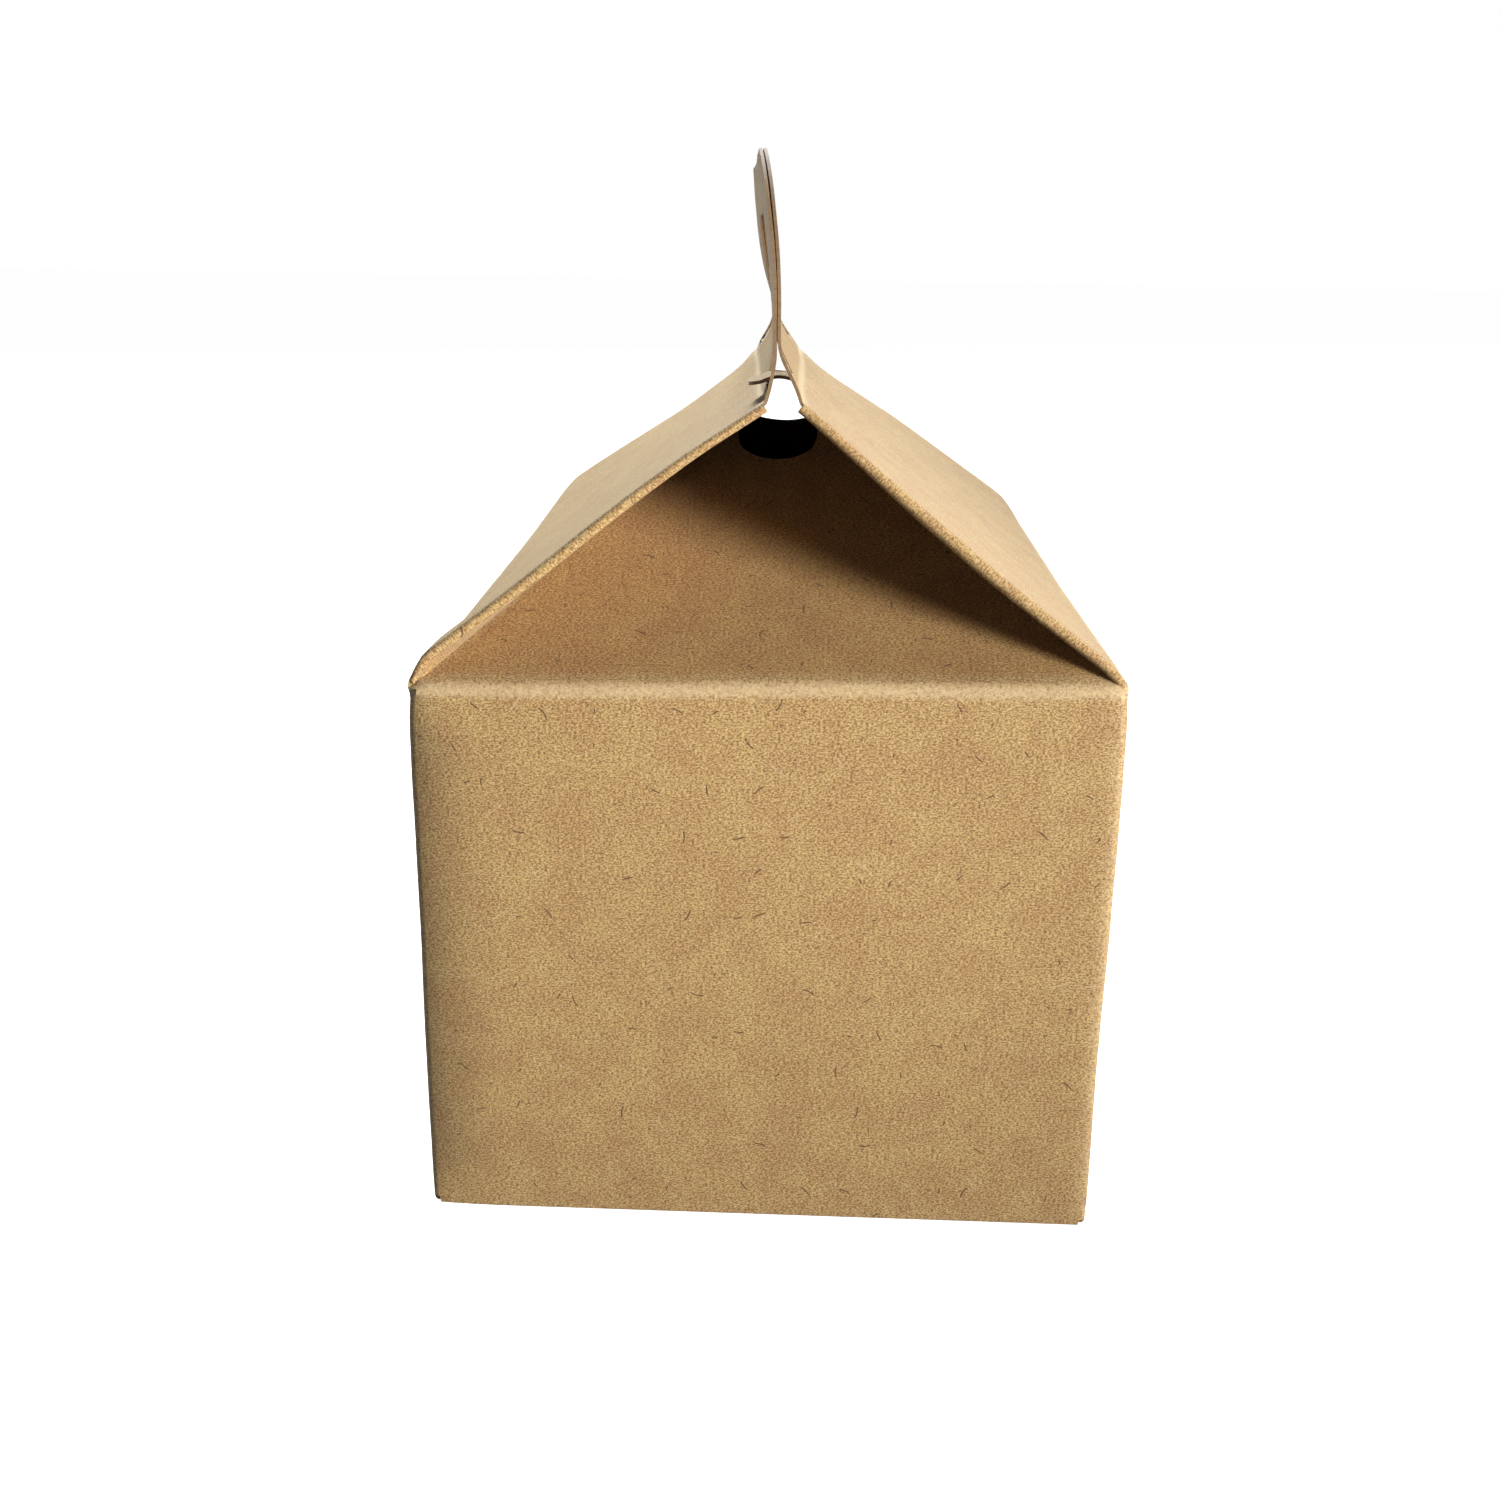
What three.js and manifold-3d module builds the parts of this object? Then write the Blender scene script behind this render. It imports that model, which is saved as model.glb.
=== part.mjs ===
// Snack carry box: a gable-topped carton folded from one sheet of kraft board.
// Millimetres, +Z up, +X across the width, +Y along the length, origin at the centre of the base.
import * as THREE from 'three';
import { mergeVertices } from 'three/addons/utils/BufferGeometryUtils.js';
import Module from 'manifold-3d';

const wasm = await Module();
wasm.setup();

// Driving sizes of the box
const boxWidth = 100;
const boxLength = 153;
const wallHeight = 85;
const board = 0.6;
const cornerRadius = 1.2;
const layerGap = 0.3;

// Roof: two sloping panels between the eave folds and the ridge folds
const roofRise = 35.2;
const ridgeOpening = 4.4;
const gableLean = 10;

// Gusset panels, which fold inward under the roof at each end
const notchWidth = 13;
const notchDepth = 17;
const gussetShoulder = 1.6;

// Handle: two panels that close together above the ridge
const throatHeight = 8.6;
const handleHeight = 35.5;
const handleEndInset = 13;
const handleCornerRadius = 19;
const handleLeanNear = 1.6;
const handleLeanFar = 7;
const handHoleLength = 62;
const handHoleHeight = 15;
const handHoleTopMargin = 8.5;

// Lock: a tongue at each end of the handle's throat, pushed through a slot in the other panel
const lockLength = 15;
const lockInset = 2.5;
const lockHeight = 3.4;
const windowHeight = 4.6;
const tongueReach = 6.4;
const tongueDrop = 0.8;
const tongueCornerRadius = 3;
const slotClearance = 0.6;

// Bottom: two end flaps between a wide inner flap and an outer flap whose tongue locks them
const outerFlapPastMiddle = 6.3;
const innerFlapPastMiddle = 16.3;
const flapTaper = 9;
const endFlapReach = 46;
const recessLength = 52;
const recessDepth = 30;
const bottomTongueReach = 20;
const bottomTongueClearance = 2;
const bottomTongueRamp = 6;
const glueFlapWidth = 15;
const glueFlapTaper = 6;

// How finely curves are divided, and how far a round fold stays under the faces that it joins
const handleSteps = 6;
const sidesAroundFold = 8;
const tightCurveSegments = 4;
const hair = 0.01;

// Places that follow from the sizes
const eaveX = (boxWidth - board) / 2;
const endY = (boxLength - board) / 2;
const wallFoot = board / 2;
const foldRadius = board / 2 - hair;
const layerPitch = board + layerGap;
const rollRadius = board + layerGap / 2 - hair;
const cutReach = 2 * boxWidth;
const gableStartY = endY + board / 2 - rollRadius;
const ridgeX = (ridgeOpening + board) / 2;
const ridgeZ = wallHeight + roofRise;
const ridgeEndY = gableStartY - gableLean;
const throatZ = ridgeZ + throatHeight;
const handleTopZ = ridgeZ + handleHeight - board / 2;
const handleX = (board + layerGap) / 2;
const handleEndY = endY - handleEndInset;
const ends = [-1, 1];
const sides = [-1, 1];

// Rigid folding at each top corner. Around the corner the flat sheet holds the roof, the web and
// the gusset, and the web lies flat under the roof once the gusset has swung in.
const roofRun = eaveX - ridgeX;
const roofSlope = Math.atan2(roofRise, roofRun);
const roofSlant = Math.hypot(roofRise, roofRun);
const gableAngle = Math.atan2(roofSlant, gableLean);
const webAngle = Math.atan2(
  Math.cos(roofSlope) * Math.sin(gableAngle) + Math.cos(gableAngle),
  Math.sin(gableAngle) + Math.cos(roofSlope) * Math.cos(gableAngle),
);
const diagonalAngle = gableAngle - webAngle;
const diagonalRun = eaveX - layerPitch / Math.sin(roofSlope) - notchWidth / 2 - gussetShoulder;
const diagonalLength = diagonalRun / (Math.sin(diagonalAngle) * Math.cos(roofSlope));

const point = (x, y, z) => new THREE.Vector3(x, y, z);
const mix = THREE.MathUtils.lerp;

// Solids and cuts
function solidOf(geometry) {
  const bare = geometry.clone();
  for (const name of Object.keys(bare.attributes)) {
    if (name !== 'position') bare.deleteAttribute(name);
  }
  const merged = mergeVertices(bare, 1e-5);
  const vertProperties = new Float32Array(merged.attributes.position.array);
  const triVerts = new Uint32Array(merged.index.array);
  return new wasm.Manifold(new wasm.Mesh({ numProp: 3, vertProperties, triVerts }));
}

function joined(pieces) {
  return pieces.reduce((whole, piece) => whole.add(piece));
}

// A panel of board around a middle surface place(u, v), with u and v from 0 to 1
function curvedPanel(place, columns, rows) {
  const step = 1e-3;
  const rim = (value) => THREE.MathUtils.clamp(value, 0, 1);
  const upper = [];
  const lower = [];
  for (let row = 0; row <= rows; row += 1) {
    for (let column = 0; column <= columns; column += 1) {
      const u = column / columns;
      const v = row / rows;
      const alongU = place(rim(u + step), v).sub(place(rim(u - step), v));
      const alongV = place(u, rim(v + step)).sub(place(u, rim(v - step)));
      const normal = alongU.cross(alongV).normalize();
      upper.push(place(u, v).addScaledVector(normal, board / 2));
      lower.push(place(u, v).addScaledVector(normal, -board / 2));
    }
  }
  const stride = columns + 1;
  const under = upper.length;
  const index = [];
  const quad = (a, b, c, d) => index.push(a, b, c, a, c, d);
  for (let row = 0; row < rows; row += 1) {
    for (let column = 0; column < columns; column += 1) {
      const a = row * stride + column;
      quad(a, a + 1, a + 1 + stride, a + stride);
      quad(under + a + stride, under + a + 1 + stride, under + a + 1, under + a);
    }
    const first = row * stride;
    const last = first + columns;
    quad(first, first + stride, under + first + stride, under + first);
    quad(last + stride, last, under + last, under + last + stride);
  }
  for (let column = 0; column < columns; column += 1) {
    const top = rows * stride + column;
    quad(column + 1, column, under + column, under + column + 1);
    quad(top, top + 1, under + top + 1, under + top);
  }
  const geometry = new THREE.BufferGeometry();
  geometry.setAttribute('position', new THREE.Float32BufferAttribute(
    [...upper, ...lower].flatMap((p) => [p.x, p.y, p.z]), 3));
  geometry.setIndex(index);
  return solidOf(geometry);
}

// A solid of an outline in the plane of two directions, centred on that plane
function slab(shape, origin, along, upward, thickness = board, steps = 1, curveSegments = 10) {
  const normal = along.clone().cross(upward);
  const geometry = new THREE.ExtrudeGeometry(shape, {
    depth: thickness, steps, bevelEnabled: false, curveSegments,
  });
  geometry.translate(0, 0, -thickness / 2);
  geometry.applyMatrix4(new THREE.Matrix4().makeBasis(along, upward, normal).setPosition(origin));
  return solidOf(geometry);
}

// A flat panel of board around corners that lie in one plane
function flatPanel(corners) {
  const along = corners[1].clone().sub(corners[0]).normalize();
  const across = corners[corners.length - 1].clone().sub(corners[0]);
  const normal = along.clone().cross(across).normalize();
  const upward = normal.clone().cross(along);
  const outline = corners.map((corner) => {
    const offset = corner.clone().sub(corners[0]);
    return new THREE.Vector2(offset.dot(along), offset.dot(upward));
  });
  return slab(new THREE.Shape(outline), corners[0], along, upward);
}

// The rounded outside of a fold between two places, a hair under the faces of its panels
function fold(from, to, radius = foldRadius) {
  const length = from.distanceTo(to);
  const geometry = new THREE.CylinderGeometry(radius, radius, length, sidesAroundFold);
  const direction = to.clone().sub(from).normalize();
  geometry.applyQuaternion(new THREE.Quaternion().setFromUnitVectors(point(0, 1, 0), direction));
  geometry.translate(...from.clone().add(to).multiplyScalar(0.5).toArray());
  return solidOf(geometry);
}

function block(low, high) {
  const size = high.clone().sub(low);
  const geometry = new THREE.BoxGeometry(size.x, size.y, size.z);
  geometry.translate(...low.clone().add(high).multiplyScalar(0.5).toArray());
  return solidOf(geometry);
}

// A slot with round ends, long in Y and cut along X
function stadiumCutter(centreZ, length, height) {
  const radius = height / 2;
  const half = length / 2 - radius;
  const shape = new THREE.Shape();
  shape.absarc(half, 0, radius, -Math.PI / 2, Math.PI / 2, false);
  shape.absarc(-half, 0, radius, Math.PI / 2, Math.PI * 1.5, false);
  return slab(shape, point(0, 0, centreZ), point(0, 1, 0), point(0, 0, 1), cutReach);
}

// A rectangle with rounded corners, centred on the origin
function roundedRectangle(halfX, halfY, radius) {
  const shape = new THREE.Shape();
  shape.absarc(halfX - radius, halfY - radius, radius, 0, Math.PI / 2, false);
  shape.absarc(radius - halfX, halfY - radius, radius, Math.PI / 2, Math.PI, false);
  shape.absarc(radius - halfX, radius - halfY, radius, Math.PI, Math.PI * 1.5, false);
  shape.absarc(halfX - radius, radius - halfY, radius, Math.PI * 1.5, Math.PI * 2, false);
  return shape;
}

// A strip of board around a line of places in the XZ plane, mitred where it bends
function stripOutline(line) {
  const offsetAt = (index, distance) => {
    const before = line[Math.max(index - 1, 0)];
    const here = line[index];
    const after = line[Math.min(index + 1, line.length - 1)];
    const isLast = index === line.length - 1;
    const into = (index > 0 ? here.clone().sub(before) : after.clone().sub(here)).normalize();
    const outOf = (isLast ? here.clone().sub(before) : after.clone().sub(here)).normalize();
    const bisector = into.clone().add(outOf).normalize();
    const stretch = distance / bisector.dot(into);
    return new THREE.Vector2(here.x - bisector.y * stretch, here.y + bisector.x * stretch);
  };
  const leftSide = line.map((place, index) => offsetAt(index, board / 2));
  const rightSide = line.map((place, index) => offsetAt(index, -board / 2)).reverse();
  return new THREE.Shape([...leftSide, ...rightSide]);
}

// Half width of a panel with rounded free corners, at a height below its free edge
function roundedHalfWidth(halfWidth, radius, belowEdge) {
  if (belowEdge >= radius) return halfWidth;
  const rise = radius - belowEdge;
  return halfWidth - radius + Math.sqrt(Math.max(radius * radius - rise * rise, 0));
}

// Walls with their rounded upright folds, and the glue flap inside one corner
function walls() {
  const shape = roundedRectangle(boxWidth / 2, boxLength / 2, cornerRadius);
  shape.holes.push(roundedRectangle(boxWidth / 2 - board, boxLength / 2 - board, cornerRadius - board));
  const middle = point(0, 0, wallHeight / 2);
  const sleeve = slab(shape, middle, point(1, 0, 0), point(0, 1, 0), wallHeight, 1, tightCurveSegments);
  const glueX = eaveX - board;
  const glueFlap = flatPanel([
    point(glueX, endY, wallFoot + glueFlapTaper),
    point(glueX, endY - glueFlapWidth, wallFoot + 2 * glueFlapTaper),
    point(glueX, endY - glueFlapWidth, wallHeight - 2 * glueFlapTaper),
    point(glueX, endY, wallHeight - glueFlapTaper),
  ]);
  return [sleeve, glueFlap];
}

// Bottom flaps in three layers, the outer one level with the foot of the walls
function bottom() {
  const layerZ = (layer) => wallFoot + layerPitch * layer;
  const outerEdgeX = -outerFlapPastMiddle;
  const innerEdgeX = innerFlapPastMiddle;
  const outer = flatPanel([
    point(eaveX, -endY, layerZ(0)),
    point(eaveX, endY, layerZ(0)),
    point(outerEdgeX, endY - flapTaper, layerZ(0)),
    point(outerEdgeX, flapTaper - endY, layerZ(0)),
  ]);
  const endFlaps = ends.map((end) => flatPanel([
    point(-eaveX, end * endY, layerZ(1)),
    point(eaveX, end * endY, layerZ(1)),
    point(eaveX - flapTaper, end * (endY - endFlapReach), layerZ(1)),
    point(flapTaper - eaveX, end * (endY - endFlapReach), layerZ(1)),
  ]));
  const inner = flatPanel([
    point(-eaveX, -endY, layerZ(2)),
    point(-eaveX, endY, layerZ(2)),
    point(innerEdgeX, endY - flapTaper, layerZ(2)),
    point(innerEdgeX, flapTaper - endY, layerZ(2)),
  ]).subtract(block(
    point(innerEdgeX - recessDepth, -recessLength / 2, layerZ(1)),
    point(innerEdgeX + board, recessLength / 2, layerZ(3)),
  ));
  const tongueHalf = recessLength / 2 - bottomTongueClearance;
  const tongueLength = bottomTongueReach + board;
  const tongue = curvedPanel((u, v) => point(
    outerEdgeX + board - tongueLength * v,
    mix(-tongueHalf, tongueHalf, u),
    mix(layerZ(0), layerZ(3), Math.min(v * tongueLength / bottomTongueRamp, 1)),
  ), 1, 10);
  return [outer, inner, tongue, ...endFlaps];
}

// Roof panels and the handle panels above them: one strip of board on each side, bent at the
// ridge and at the throat, with its ends cut to the outline that the box shows from the side
function roofAndHandle() {
  const ridgeToTop = (sign) => [point(0, sign * ridgeEndY, ridgeZ), point(0, sign * handleEndY, throatZ)];
  const sideOutline = new THREE.Shape();
  sideOutline.moveTo(-gableStartY, wallHeight - board);
  sideOutline.lineTo(gableStartY, wallHeight - board);
  sideOutline.lineTo(gableStartY, wallHeight);
  for (const place of ridgeToTop(1)) sideOutline.lineTo(place.y, place.z);
  const cornerY = handleEndY - handleCornerRadius;
  const cornerZ = handleTopZ - handleCornerRadius;
  sideOutline.absarc(cornerY, cornerZ, handleCornerRadius, 0, Math.PI / 2, false);
  sideOutline.absarc(-cornerY, cornerZ, handleCornerRadius, Math.PI / 2, Math.PI, false);
  for (const place of ridgeToTop(-1).reverse()) sideOutline.lineTo(place.y, place.z);
  sideOutline.lineTo(-gableStartY, wallHeight);
  const silhouette = slab(sideOutline, point(0, 0, 0), point(0, 1, 0), point(0, 0, 1), cutReach);
  const handHoleZ = handleTopZ - handHoleTopMargin - handHoleHeight / 2;
  const handHole = stadiumCutter(handHoleZ, handHoleLength, handHoleHeight);
  return sides.map((side) => {
    const line = [
      new THREE.Vector2(side * eaveX, wallHeight),
      new THREE.Vector2(side * ridgeX, ridgeZ),
    ];
    for (let step = 0; step <= handleSteps; step += 1) {
      const z = mix(throatZ, handleTopZ + board, step / handleSteps);
      line.push(new THREE.Vector2(side * handleX, z));
    }
    return slab(stripOutline(line), point(0, 0, 0), point(1, 0, 0), point(0, 0, 1), boxLength, handleSteps)
      .intersect(silhouette).subtract(handHole);
  });
}

// The rolled folds along the gable edges of the roof
function gableRolls() {
  const pieces = [];
  for (const side of sides) {
    const inward = point(-side * Math.sin(roofSlope), 0, -Math.cos(roofSlope));
    for (const end of ends) {
      pieces.push(fold(
        point(side * eaveX, end * gableStartY, wallHeight).addScaledVector(inward, layerPitch / 2),
        point(side * ridgeX, end * ridgeEndY, ridgeZ).addScaledVector(inward, layerPitch / 2),
        rollRadius,
      ));
    }
  }
  return pieces;
}

// The folds of one top corner. The web is a triangle from the corner to the ridge and down the
// diagonal fold, one layer under the roof panel.
function cornerFolds(side, end) {
  const upSlope = point(-side * Math.cos(roofSlope), 0, Math.sin(roofSlope));
  const alongEave = point(0, -end, 0);
  const inward = point(-side * Math.sin(roofSlope), 0, -Math.cos(roofSlope));
  const wallCorner = point(side * eaveX, end * endY, wallHeight);
  const webCorner = point(side * eaveX, end * gableStartY, wallHeight).addScaledVector(inward, layerPitch);
  const ridgeEnd = point(side * ridgeX, end * ridgeEndY, ridgeZ)
    .addScaledVector(inward, layerPitch)
    .addScaledVector(upSlope, -2 * board);
  const diagonalEnd = point(side * (eaveX - layerPitch / Math.sin(roofSlope)), end * endY, wallHeight)
    .addScaledVector(upSlope, diagonalLength * Math.sin(diagonalAngle))
    .addScaledVector(alongEave, diagonalLength * Math.cos(diagonalAngle));
  return { wallCorner, webCorner, ridgeEnd, diagonalEnd };
}

// A gusset with a rounded notch at the middle of its free edge, and its two webs
function gusset(end) {
  const left = cornerFolds(-1, end);
  const right = cornerFolds(1, end);
  const foot = left.wallCorner.clone().add(right.wallCorner).multiplyScalar(0.5);
  const middle = left.diagonalEnd.clone().add(right.diagonalEnd).multiplyScalar(0.5);
  const across = point(1, 0, 0);
  const upPanel = middle.clone().sub(foot).normalize();
  const reach = middle.distanceTo(foot);
  const notchRadius = notchWidth / 2;
  const outline = new THREE.Shape();
  outline.moveTo(-eaveX, 0);
  outline.lineTo(eaveX, 0);
  outline.lineTo(right.diagonalEnd.x, reach);
  outline.lineTo(notchRadius, reach);
  outline.absarc(0, reach - notchDepth + notchRadius, notchRadius, 0, Math.PI, true);
  outline.lineTo(-notchRadius, reach);
  outline.lineTo(left.diagonalEnd.x, reach);
  const pieces = [slab(outline, foot, across, upPanel)];
  for (const folds of [left, right]) {
    pieces.push(flatPanel([folds.webCorner, folds.ridgeEnd, folds.diagonalEnd]));
    pieces.push(fold(folds.webCorner, folds.diagonalEnd));
  }
  return pieces;
}

// Tongues cut from the right throat panel, and the openings that they leave and pass through
function lock() {
  const panelX = (height) => mix(ridgeX, handleX, height / throatHeight);
  const tongues = [];
  const openings = [];
  const half = lockLength / 2;
  const hingeX = panelX(lockHeight);
  const tongueHalf = half - slotClearance;
  for (const end of ends) {
    const middleY = end * (handleEndY - lockInset - half);
    tongues.push(curvedPanel((u, v) => {
      const width = roundedHalfWidth(tongueHalf, tongueCornerRadius, tongueReach * (1 - v));
      return point(
        hingeX - tongueReach * v,
        middleY + mix(-width, width, u),
        ridgeZ + lockHeight - tongueDrop * v * v,
      );
    }, 1, 8));
    openings.push(block(
      point(-ridgeX - ridgeOpening, middleY - half, ridgeZ + lockHeight - tongueDrop - board),
      point(-layerGap / 2, middleY + half, ridgeZ + lockHeight + windowHeight),
    ));
    openings.push(block(
      point(layerGap / 2, middleY - half, ridgeZ + lockHeight),
      point(ridgeX + ridgeOpening, middleY + half, ridgeZ + lockHeight + windowHeight),
    ));
  }
  return { tongues, openings };
}

// The closed handle leans over to the left, more at its far end than at its near end
function leanHandle(positions) {
  for (let index = 0; index < positions.length; index += 3) {
    const along = (positions[index + 1] / handleEndY + 1) / 2;
    const up = Math.max(positions[index + 2] - throatZ, 0) / (handleTopZ - throatZ);
    positions[index] -= up * up * mix(handleLeanNear, handleLeanFar, along);
  }
  return positions;
}

function meshOf(solid, name, material) {
  const { vertProperties, triVerts } = solid.getMesh();
  const geometry = new THREE.BufferGeometry();
  const positions = leanHandle(new Float32Array(vertProperties));
  geometry.setAttribute('position', new THREE.BufferAttribute(positions, 3));
  geometry.setIndex(new THREE.BufferAttribute(new Uint32Array(triVerts), 1));
  geometry.computeVertexNormals();
  const mesh = new THREE.Mesh(geometry, material);
  mesh.name = name;
  return mesh;
}

const kraft = new THREE.MeshStandardMaterial({ color: 0xb98f5c, roughness: 0.9, metalness: 0 });

function carton() {
  const { tongues, openings } = lock();
  const panels = joined(roofAndHandle());
  const upperPanels = openings.reduce((solid, opening) => solid.subtract(opening), panels);
  return joined([
    ...walls(),
    ...bottom(),
    upperPanels,
    ...gableRolls(),
    ...ends.flatMap(gusset),
    ...tongues,
  ]);
}

const snackCarryBox = new THREE.Group();
snackCarryBox.add(meshOf(carton(), 'carton', kraft));

export default snackCarryBox;
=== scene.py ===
"""Looks of a snack carry box: one sheet of kraft board, folded, with soft creases and worn edges.

Lengths are in millimetres until the mesh is made, and +Z is up. The near end is at low Y.
"""
import math

import bmesh
import bpy
from mathutils import Matrix, Vector, noise


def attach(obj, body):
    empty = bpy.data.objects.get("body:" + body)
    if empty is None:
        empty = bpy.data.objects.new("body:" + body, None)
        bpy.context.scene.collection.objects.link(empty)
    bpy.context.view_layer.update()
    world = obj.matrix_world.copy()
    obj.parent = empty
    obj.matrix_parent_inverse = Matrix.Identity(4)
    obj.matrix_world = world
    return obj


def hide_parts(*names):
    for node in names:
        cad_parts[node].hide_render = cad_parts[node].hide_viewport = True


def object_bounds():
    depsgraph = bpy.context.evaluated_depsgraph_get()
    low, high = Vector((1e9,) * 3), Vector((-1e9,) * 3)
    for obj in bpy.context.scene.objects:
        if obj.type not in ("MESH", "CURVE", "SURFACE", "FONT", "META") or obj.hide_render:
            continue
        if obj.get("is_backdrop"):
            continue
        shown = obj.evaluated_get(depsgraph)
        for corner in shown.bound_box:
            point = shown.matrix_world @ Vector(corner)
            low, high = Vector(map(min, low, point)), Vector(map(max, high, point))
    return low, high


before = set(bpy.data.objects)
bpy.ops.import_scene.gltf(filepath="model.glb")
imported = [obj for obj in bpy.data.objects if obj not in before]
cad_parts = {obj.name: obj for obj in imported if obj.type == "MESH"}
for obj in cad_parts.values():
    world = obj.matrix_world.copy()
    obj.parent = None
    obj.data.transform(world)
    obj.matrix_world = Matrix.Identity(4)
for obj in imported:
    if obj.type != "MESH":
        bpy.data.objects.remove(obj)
cad_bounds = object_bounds()

MM = 0.001

# Sizes of the carton, as in the part's source, but for the notch, which is less deep here
BOX_WIDTH = 100.0
BOX_LENGTH = 153.0
WALL_HEIGHT = 85.0
BOARD = 0.6
LAYER_GAP = 0.3
ROOF_RISE = 35.2
RIDGE_OPENING = 4.4
GABLE_LEAN = 10.0
NOTCH_WIDTH = 13.0
NOTCH_DEPTH = 13.5
GUSSET_SHOULDER = 1.6
THROAT_HEIGHT = 8.6
HANDLE_HEIGHT = 35.5
HANDLE_END_INSET = 13.0
HANDLE_CORNER_RADIUS = 19.0
HAND_HOLE_LENGTH = 62.0
HAND_HOLE_HEIGHT = 15.0
HAND_HOLE_TOP_MARGIN = 8.5
LOCK_LENGTH = 15.0
LOCK_INSET = 2.5
LOCK_HEIGHT = 3.4
WINDOW_HEIGHT = 4.6
TONGUE_REACH = 6.4
FAR_TONGUE_REACH = 3.4
TONGUE_DROP = 0.8
OUTER_FLAP_PAST_MIDDLE = 6.3
INNER_FLAP_PAST_MIDDLE = 16.3
END_FLAP_REACH = 46.0
FLAP_TAPER = 9.0
RECESS_LENGTH = 52.0
RECESS_DEPTH = 30.0
BOTTOM_TONGUE_REACH = 20.0
BOTTOM_TONGUE_CLEARANCE = 2.0
BOTTOM_TONGUE_RAMP = 6.0

# The board looks thinner at its cut edges than the solid's, and the handle panels lie closer
SHOWN_BOARD = 0.46
SHOWN_HANDLE_X = 0.28

# Softness of the folds, as radii of the middle of the board
CORNER_FOLD = 0.9
EAVE_FOLD = 0.9
RIDGE_FOLD = 0.9
THROAT_FOLD = 12.0
THROAT_DROP = 1.5
GUSSET_FOLD = 2.2
BOTTOM_FOLD = 0.5
FLAP_RAMP = 4.0
FLAP_SIDE_GAP = 1.5

# How finely the mesh is divided
STRIP_COLUMNS = 64
END_COLUMNS = 50
WALL_ROWS = 27
FOLD_ROWS = 40
ARC_STEPS = 4
ROLL_STEPS = 7
WEB_COLUMNS = 8
SHARP_ANGLE = 38.0
WELD_DISTANCE = 0.02
UV_PER_MM = 0.01
# The board's lumps come from noise that starts from the clock unless it is given a seed
LUMP_SEED = 1

# How far the real carton has moved from the ideal one
EAVE_TWIST = 1.15
RIDGE_TILT = 1.5
NEAR_RIDGE_RISE = 1.1
FAR_THROAT_SPREAD = 1.8
HANDLE_GAP = 0.12
BEND_DEPTH = 2.4
BEND_WIDTH = 12.0
BEND_SLANT = 1.15
BEND_SIDEWAYS = 0.3
WALL_SWELL = 0.45
WIDE_WAVE = 0.028
WIDE_HEIGHT = 0.32
SMALL_WAVE = 0.16
SMALL_HEIGHT = 0.05
# Sideways place of the middle of ridge and handle, by height, at the near and at the far end
NEAR_SWAY = [
    (104, 0), (113, 0.5), (120.5, 1.4), (128.5, 0.4),
    (135, 0.25), (142, -0.1), (149, -0.8), (156, -1.8),
]
FAR_SWAY = [
    (104, 0), (113, -1.3), (120.5, -2.4), (131, -3.3),
    (136, -4.8), (141, -5.9), (148, -6.9), (156, -7.7),
]
# How much wider each rolled gable edge is in its middle, and how high and how far in the roof lifts
ROLL_SWELL = {(-1, -1): 0.25, (1, -1): 0.5, (-1, 1): 0.4, (1, 1): 0.3}
GABLE_LIFT = {(-1, -1): (2.5, 24.0), (1, -1): (1.0, 18.0), (-1, 1): (1.2, 20.0), (1, 1): (1.4, 20.0)}

# How worn the board is: 1 on a rubbed fold. Below 0 is painted shade, a deeper brown on the gussets in
# the dark recess under the roof
PAINTED_GUSSET_SHADE = -0.6
CREASE_WEAR = 0.7
CREASE_SOFTNESS = 2.1
BORDER_WEAR = 0.4
HOLE_EDGE_WEAR = 0.45
HANDLE_EDGE_WEAR = 0.5
ROLL_WEAR = 0.14
WEB_WEAR = 0.05
FLAP_WEAR = 0.2

# Colours and light levels
KRAFT_BROWN = (0.335, 0.196, 0.067, 1)
KRAFT_STRAW = (0.405, 0.275, 0.097, 1)
KRAFT_FLECK = (0.17, 0.075, 0.02, 1)
KRAFT_PALE = (0.52, 0.4, 0.235, 1)
FIBRE_DARK = (0.06, 0.024, 0.008, 1)
# Painted shade: a deeper brown tint for the gussets, which lie in the dark recess under the roof
PAINTED_SHADE_TINT = (0.91, 0.79, 0.65, 1)
# Painted shade: the cut edges are darkened, more towards the ridge and handle, where the gaps between the
# sheets lie in shade
PAINTED_EDGE_SHADE = (0.13, 0.07, 0.035, 1)
FLOOR_SIZE = 3.0
FLOOR_GLOW = 0.985
FLOOR_BOUNCE = (0.04, 0.04, 0.04)
AMBIENT = 0.004

# Places that follow from the sizes
LAYER_PITCH = BOARD + LAYER_GAP
EAVE_X = (BOX_WIDTH - BOARD) / 2
END_Y = (BOX_LENGTH - BOARD) / 2
RIDGE_X = (RIDGE_OPENING + BOARD) / 2
RIDGE_Z = WALL_HEIGHT + ROOF_RISE
THROAT_Z = RIDGE_Z + THROAT_HEIGHT
HANDLE_TOP_Z = RIDGE_Z + HANDLE_HEIGHT - BOARD / 2
HANDLE_END_Y = END_Y - HANDLE_END_INSET
STRAIGHT_X = EAVE_X - CORNER_FOLD
STRAIGHT_Y = END_Y - CORNER_FOLD
SLEEVE_FOOT = 1.3
SLEEVE_TOP = 83.0
RIDGE_END_Y = STRAIGHT_Y - GABLE_LEAN + 0.4
TONGUE_TIP_RADIUS = 3.0
ROOF_SLOPE = math.atan2(ROOF_RISE, EAVE_X - RIDGE_X)
ROOF_SLANT = math.hypot(ROOF_RISE, EAVE_X - RIDGE_X)


def mix(low, high, share):
    return low + (high - low) * share


def smooth(low, high, value):
    share = min(max((value - low) / (high - low), 0.0), 1.0)
    return share * share * (3 - 2 * share)


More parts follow.
